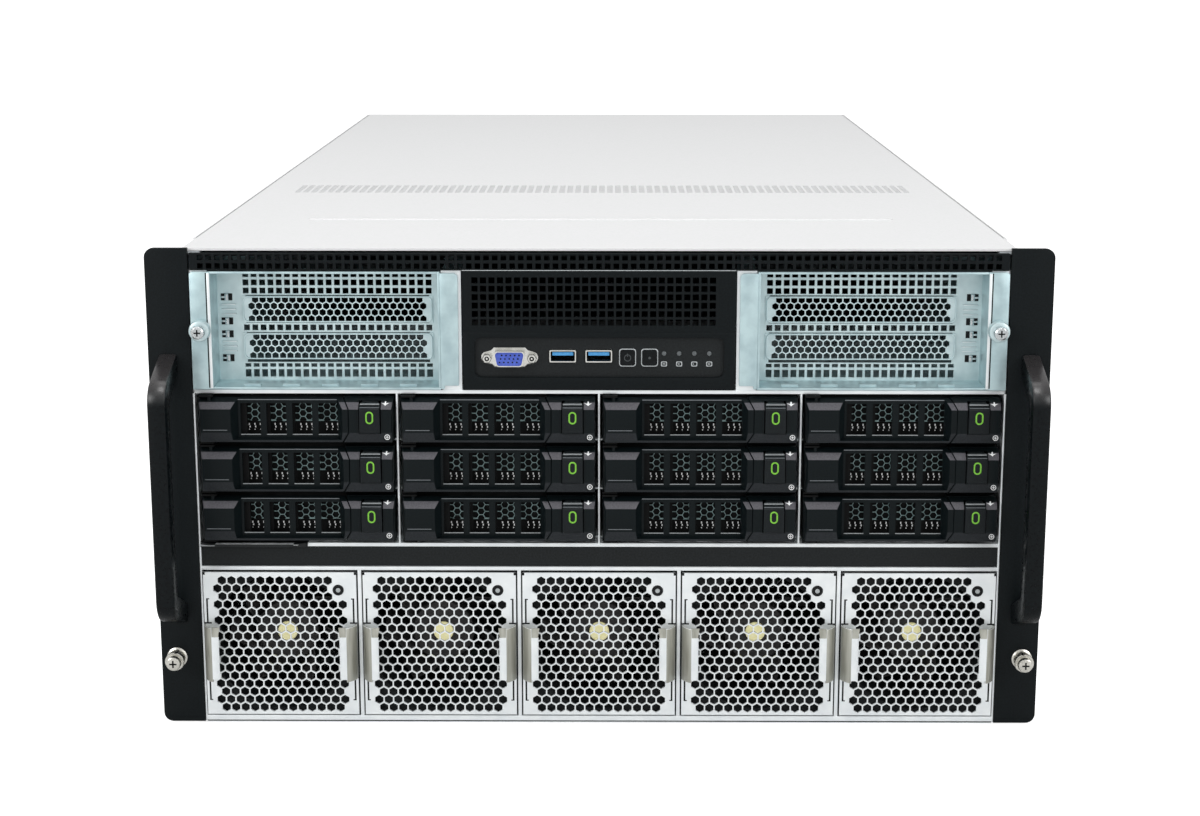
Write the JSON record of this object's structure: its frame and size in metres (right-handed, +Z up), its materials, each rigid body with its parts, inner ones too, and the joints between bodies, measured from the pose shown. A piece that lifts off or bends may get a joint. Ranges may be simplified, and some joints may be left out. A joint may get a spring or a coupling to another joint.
{
  "type": "rack server",
  "caption": "Six-unit rack server with hinged drive carriers, slide-out fan modules and expansion cages at the front, and a deep sheet-steel case for accelerator cards.",
  "frame": {"origin": "middle of the base of the object's box", "axes": "+X to the right seen from the front, +Y from the front to the rear, +Z up"},
  "size_m": [0.4826, 0.956, 0.2653],
  "materials": {
    "zinc_sheet": "bright zinc-plated sheet",
    "fan_sheet": "zinc-plated sheet round a black fan",
    "black_coat": "fine black powder coat",
    "black_bar": "black coated bar",
    "cover_coat": "pale grey coat on sheet steel",
    "carrier_tray": "plain tray and disk",
    "drive_plastic": "black moulded",
    "rotor_plastic": "black moulded",
    "button_cap": "smooth black",
    "tag_plastic": "dark grey",
    "board": "solder-masked board",
    "card_shroud": "dark shroud",
    "supply_case": "plain sheet"
  },
  "bodies": {
    "case": {"chassis_shell": "zinc_sheet", "bay_frame": "zinc_sheet", "front_panel": "black_coat", "rack_ears": "black_coat", "pull_handles": "black_bar", "circuit_boards": "board", "accelerator_cards": "card_shroud", "power_supplies": "supply_case"},
    "cover": {"top_cover": "cover_coat"},
    "carrier_01": {"drive_carrier_01": "carrier_tray"},
    "lever_01": {"drive_lever_01": "drive_plastic"},
    "release_01": {"drive_button_01": "drive_plastic"},
    "carrier_02": {"drive_carrier_02": "carrier_tray"},
    "lever_02": {"drive_lever_02": "drive_plastic"},
    "release_02": {"drive_button_02": "drive_plastic"},
    "carrier_03": {"drive_carrier_03": "carrier_tray"},
    "lever_03": {"drive_lever_03": "drive_plastic"},
    "release_03": {"drive_button_03": "drive_plastic"},
    "carrier_04": {"drive_carrier_04": "carrier_tray"},
    "lever_04": {"drive_lever_04": "drive_plastic"},
    "release_04": {"drive_button_04": "drive_plastic"},
    "carrier_05": {"drive_carrier_05": "carrier_tray"},
    "lever_05": {"drive_lever_05": "drive_plastic"},
    "release_05": {"drive_button_05": "drive_plastic"},
    "carrier_06": {"drive_carrier_06": "carrier_tray"},
    "lever_06": {"drive_lever_06": "drive_plastic"},
    "release_06": {"drive_button_06": "drive_plastic"},
    "carrier_07": {"drive_carrier_07": "carrier_tray"},
    "lever_07": {"drive_lever_07": "drive_plastic"},
    "release_07": {"drive_button_07": "drive_plastic"},
    "carrier_08": {"drive_carrier_08": "carrier_tray"},
    "lever_08": {"drive_lever_08": "drive_plastic"},
    "release_08": {"drive_button_08": "drive_plastic"},
    "carrier_09": {"drive_carrier_09": "carrier_tray"},
    "lever_09": {"drive_lever_09": "drive_plastic"},
    "release_09": {"drive_button_09": "drive_plastic"},
    "carrier_10": {"drive_carrier_10": "carrier_tray"},
    "lever_10": {"drive_lever_10": "drive_plastic"},
    "release_10": {"drive_button_10": "drive_plastic"},
    "carrier_11": {"drive_carrier_11": "carrier_tray"},
    "lever_11": {"drive_lever_11": "drive_plastic"},
    "release_11": {"drive_button_11": "drive_plastic"},
    "carrier_12": {"drive_carrier_12": "carrier_tray"},
    "lever_12": {"drive_lever_12": "drive_plastic"},
    "release_12": {"drive_button_12": "drive_plastic"},
    "fan_1": {"fan_module_1": "fan_sheet"},
    "rotor_1": {"fan_rotor_1": "rotor_plastic"},
    "fan_2": {"fan_module_2": "fan_sheet"},
    "rotor_2": {"fan_rotor_2": "rotor_plastic"},
    "fan_3": {"fan_module_3": "fan_sheet"},
    "rotor_3": {"fan_rotor_3": "rotor_plastic"},
    "fan_4": {"fan_module_4": "fan_sheet"},
    "rotor_4": {"fan_rotor_4": "rotor_plastic"},
    "fan_5": {"fan_module_5": "fan_sheet"},
    "rotor_5": {"fan_rotor_5": "rotor_plastic"},
    "cage_left": {"expansion_cage_left": "zinc_sheet"},
    "cage_right": {"expansion_cage_right": "zinc_sheet"},
    "power_key": {"power_button": "button_cap"},
    "locator_key": {"locator_button": "button_cap"},
    "tag": {"pull_tag": "tag_plastic"}
  },
  "joints": [
    {"name": "cover_lift", "type": "slide", "parent": "case", "child": "cover", "axis": [0, 0, 1], "range_m": [0, 0.25]},
    {"name": "carrier_01_slide", "type": "slide", "parent": "case", "child": "carrier_01", "axis": [0, -1, 0], "range_m": [0, 0.165]},
    {"name": "lever_01_swing", "type": "hinge", "parent": "carrier_01", "child": "lever_01", "pos_m": [-0.2093, -0.443, 0.1728], "axis": [0, 0, -1], "range_deg": [0, 75]},
    {"name": "release_01_press", "type": "slide", "parent": "carrier_01", "child": "release_01", "axis": [0, 1, 0], "range_m": [0, 0.0015], "stiffness_N_per_m": 300},
    {"name": "fan_1_slide", "type": "slide", "parent": "case", "child": "fan_1", "axis": [0, -1, 0], "range_m": [0, 0.075]},
    {"name": "rotor_1_spin", "type": "hinge", "parent": "fan_1", "child": "rotor_1", "pos_m": [-0.1748, -0.402, 0.0456], "axis": [0, 1, 0], "continuous": true},
    {"name": "cage_left_slide", "type": "slide", "parent": "case", "child": "cage_left", "axis": [0, -1, 0], "range_m": [0, 0.21]},
    {"name": "cage_right_slide", "type": "slide", "parent": "case", "child": "cage_right", "axis": [0, -1, 0], "range_m": [0, 0.21]},
    {"name": "power_press", "type": "slide", "parent": "case", "child": "power_key", "axis": [0, 1, 0], "range_m": [0, 0.001], "stiffness_N_per_m": 400},
    {"name": "locator_press", "type": "slide", "parent": "case", "child": "locator_key", "axis": [0, 1, 0], "range_m": [0, 0.001], "stiffness_N_per_m": 400},
    {"name": "tag_pull", "type": "slide", "parent": "case", "child": "tag", "axis": [0, -1, 0], "range_m": [0, 0.045]},
    {"name": "carrier_02_slide", "type": "slide", "parent": "case", "child": "carrier_02", "axis": [0, -1, 0], "range_m": [0, 0.165]},
    {"name": "lever_02_swing", "type": "hinge", "parent": "carrier_02", "child": "lever_02", "pos_m": [-0.1007, -0.443, 0.1728], "axis": [0, 0, -1], "range_deg": [0, 75]},
    {"name": "release_02_press", "type": "slide", "parent": "carrier_02", "child": "release_02", "axis": [0, 1, 0], "range_m": [0, 0.0015], "stiffness_N_per_m": 300},
    {"name": "carrier_03_slide", "type": "slide", "parent": "case", "child": "carrier_03", "axis": [0, -1, 0], "range_m": [0, 0.165]},
    {"name": "lever_03_swing", "type": "hinge", "parent": "carrier_03", "child": "lever_03", "pos_m": [0.0079, -0.443, 0.1728], "axis": [0, 0, -1], "range_deg": [0, 75]},
    {"name": "release_03_press", "type": "slide", "parent": "carrier_03", "child": "release_03", "axis": [0, 1, 0], "range_m": [0, 0.0015], "stiffness_N_per_m": 300},
    {"name": "carrier_04_slide", "type": "slide", "parent": "case", "child": "carrier_04", "axis": [0, -1, 0], "range_m": [0, 0.165]},
    {"name": "lever_04_swing", "type": "hinge", "parent": "carrier_04", "child": "lever_04", "pos_m": [0.1165, -0.443, 0.1728], "axis": [0, 0, -1], "range_deg": [0, 75]},
    {"name": "release_04_press", "type": "slide", "parent": "carrier_04", "child": "release_04", "axis": [0, 1, 0], "range_m": [0, 0.0015], "stiffness_N_per_m": 300},
    {"name": "carrier_05_slide", "type": "slide", "parent": "case", "child": "carrier_05", "axis": [0, -1, 0], "range_m": [0, 0.165]},
    {"name": "lever_05_swing", "type": "hinge", "parent": "carrier_05", "child": "lever_05", "pos_m": [-0.2093, -0.443, 0.1454], "axis": [0, 0, -1], "range_deg": [0, 75]},
    {"name": "release_05_press", "type": "slide", "parent": "carrier_05", "child": "release_05", "axis": [0, 1, 0], "range_m": [0, 0.0015], "stiffness_N_per_m": 300},
    {"name": "carrier_06_slide", "type": "slide", "parent": "case", "child": "carrier_06", "axis": [0, -1, 0], "range_m": [0, 0.165]},
    {"name": "lever_06_swing", "type": "hinge", "parent": "carrier_06", "child": "lever_06", "pos_m": [-0.1007, -0.443, 0.1454], "axis": [0, 0, -1], "range_deg": [0, 75]},
    {"name": "release_06_press", "type": "slide", "parent": "carrier_06", "child": "release_06", "axis": [0, 1, 0], "range_m": [0, 0.0015], "stiffness_N_per_m": 300},
    {"name": "carrier_07_slide", "type": "slide", "parent": "case", "child": "carrier_07", "axis": [0, -1, 0], "range_m": [0, 0.165]},
    {"name": "lever_07_swing", "type": "hinge", "parent": "carrier_07", "child": "lever_07", "pos_m": [0.0079, -0.443, 0.1454], "axis": [0, 0, -1], "range_deg": [0, 75]},
    {"name": "release_07_press", "type": "slide", "parent": "carrier_07", "child": "release_07", "axis": [0, 1, 0], "range_m": [0, 0.0015], "stiffness_N_per_m": 300},
    {"name": "carrier_08_slide", "type": "slide", "parent": "case", "child": "carrier_08", "axis": [0, -1, 0], "range_m": [0, 0.165]},
    {"name": "lever_08_swing", "type": "hinge", "parent": "carrier_08", "child": "lever_08", "pos_m": [0.1165, -0.443, 0.1454], "axis": [0, 0, -1], "range_deg": [0, 75]},
    {"name": "release_08_press", "type": "slide", "parent": "carrier_08", "child": "release_08", "axis": [0, 1, 0], "range_m": [0, 0.0015], "stiffness_N_per_m": 300},
    {"name": "carrier_09_slide", "type": "slide", "parent": "case", "child": "carrier_09", "axis": [0, -1, 0], "range_m": [0, 0.165]},
    {"name": "lever_09_swing", "type": "hinge", "parent": "carrier_09", "child": "lever_09", "pos_m": [-0.2093, -0.443, 0.118], "axis": [0, 0, -1], "range_deg": [0, 75]},
    {"name": "release_09_press", "type": "slide", "parent": "carrier_09", "child": "release_09", "axis": [0, 1, 0], "range_m": [0, 0.0015], "stiffness_N_per_m": 300},
    {"name": "carrier_10_slide", "type": "slide", "parent": "case", "child": "carrier_10", "axis": [0, -1, 0], "range_m": [0, 0.165]},
    {"name": "lever_10_swing", "type": "hinge", "parent": "carrier_10", "child": "lever_10", "pos_m": [-0.1007, -0.443, 0.118], "axis": [0, 0, -1], "range_deg": [0, 75]},
    {"name": "release_10_press", "type": "slide", "parent": "carrier_10", "child": "release_10", "axis": [0, 1, 0], "range_m": [0, 0.0015], "stiffness_N_per_m": 300},
    {"name": "carrier_11_slide", "type": "slide", "parent": "case", "child": "carrier_11", "axis": [0, -1, 0], "range_m": [0, 0.165]},
    {"name": "lever_11_swing", "type": "hinge", "parent": "carrier_11", "child": "lever_11", "pos_m": [0.0079, -0.443, 0.118], "axis": [0, 0, -1], "range_deg": [0, 75]},
    {"name": "release_11_press", "type": "slide", "parent": "carrier_11", "child": "release_11", "axis": [0, 1, 0], "range_m": [0, 0.0015], "stiffness_N_per_m": 300},
    {"name": "carrier_12_slide", "type": "slide", "parent": "case", "child": "carrier_12", "axis": [0, -1, 0], "range_m": [0, 0.165]},
    {"name": "lever_12_swing", "type": "hinge", "parent": "carrier_12", "child": "lever_12", "pos_m": [0.1165, -0.443, 0.118], "axis": [0, 0, -1], "range_deg": [0, 75]},
    {"name": "release_12_press", "type": "slide", "parent": "carrier_12", "child": "release_12", "axis": [0, 1, 0], "range_m": [0, 0.0015], "stiffness_N_per_m": 300},
    {"name": "fan_2_slide", "type": "slide", "parent": "case", "child": "fan_2", "axis": [0, -1, 0], "range_m": [0, 0.075]},
    {"name": "rotor_2_spin", "type": "hinge", "parent": "fan_2", "child": "rotor_2", "pos_m": [-0.0874, -0.402, 0.0456], "axis": [0, 1, 0], "continuous": true},
    {"name": "fan_3_slide", "type": "slide", "parent": "case", "child": "fan_3", "axis": [0, -1, 0], "range_m": [0, 0.075]},
    {"name": "rotor_3_spin", "type": "hinge", "parent": "fan_3", "child": "rotor_3", "pos_m": [0, -0.402, 0.0456], "axis": [0, 1, 0], "continuous": true},
    {"name": "fan_4_slide", "type": "slide", "parent": "case", "child": "fan_4", "axis": [0, -1, 0], "range_m": [0, 0.075]},
    {"name": "rotor_4_spin", "type": "hinge", "parent": "fan_4", "child": "rotor_4", "pos_m": [0.0874, -0.402, 0.0456], "axis": [0, 1, 0], "continuous": true},
    {"name": "fan_5_slide", "type": "slide", "parent": "case", "child": "fan_5", "axis": [0, -1, 0], "range_m": [0, 0.075]},
    {"name": "rotor_5_spin", "type": "hinge", "parent": "fan_5", "child": "rotor_5", "pos_m": [0.1748, -0.402, 0.0456], "axis": [0, 1, 0], "continuous": true}
  ]
}
